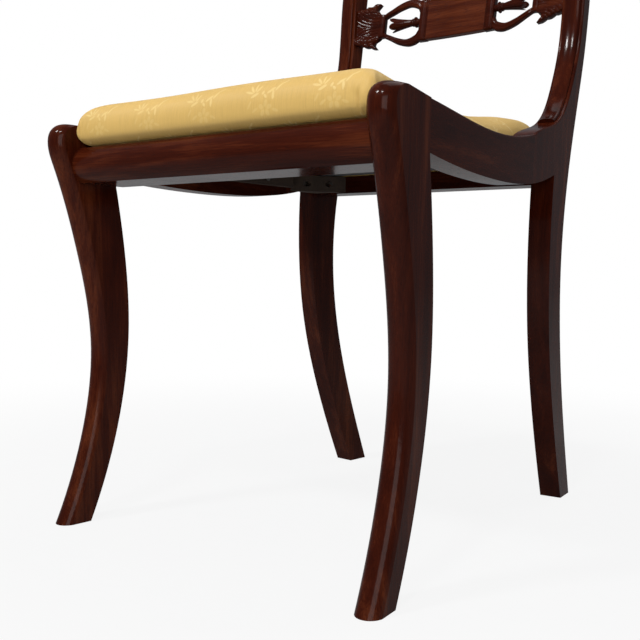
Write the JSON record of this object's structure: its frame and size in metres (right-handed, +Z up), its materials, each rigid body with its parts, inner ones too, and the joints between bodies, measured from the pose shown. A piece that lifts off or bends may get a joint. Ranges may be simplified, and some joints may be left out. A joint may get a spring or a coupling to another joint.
{
  "type": "side chair",
  "caption": "Mahogany klismos side chair with sabre legs, pierced and carved mid rail, curved crest rail and a drop-in seat in yellow damask.",
  "frame": {"origin": "middle of the chair's whole box, at floor level", "axes": "+X to the right as seen from the front, +Y to the back, +Z up"},
  "size_m": [0.4782, 0.5672, 0.8431],
  "materials": {
    "mahogany": "polished",
    "secondary_wood": "matt",
    "damask": "satin weave",
    "stuffing": "matt",
    "hessian": "coarse weave",
    "jute_webbing": "coarse weave",
    "black_cloth": "matt",
    "screw_steel": "dull",
    "tack_steel": "blued"
  },
  "bodies": {
    "frame": {"front_leg_left": "mahogany", "front_leg_right": "mahogany", "side_rail_left": "mahogany", "side_rail_right": "mahogany", "rear_leg_left": "mahogany", "rear_leg_right": "mahogany", "front_rail": "mahogany", "back_rail": "mahogany", "mid_rail": "mahogany", "bellflower_left": "mahogany", "bellflower_right": "mahogany", "crest_rail": "mahogany", "post_moulding_left": "mahogany", "post_moulding_right": "mahogany", "moulding_pegs": "mahogany", "front_corner_block_left": "secondary_wood", "front_corner_block_right": "secondary_wood", "back_corner_block_left": "secondary_wood", "back_corner_block_right": "secondary_wood", "corner_block_screws": "screw_steel", "seat_ledge_left": "secondary_wood", "seat_ledge_right": "secondary_wood", "ledge_screws": "screw_steel"},
    "seat": {"seat_frame_front": "secondary_wood", "seat_frame_back": "secondary_wood", "seat_frame_left": "secondary_wood", "seat_frame_right": "secondary_wood", "webbing_lengthwise": "jute_webbing", "webbing_crosswise": "jute_webbing", "hessian": "hessian", "seat_stuffing": "stuffing", "seat_cover": "damask", "dust_cover": "black_cloth", "cover_tacks": "tack_steel"}
  },
  "joints": [
    {"name": "seat_lift", "type": "slide", "parent": "frame", "child": "seat", "axis": [0, 0, 1], "range_m": [0, 0.1]}
  ]
}
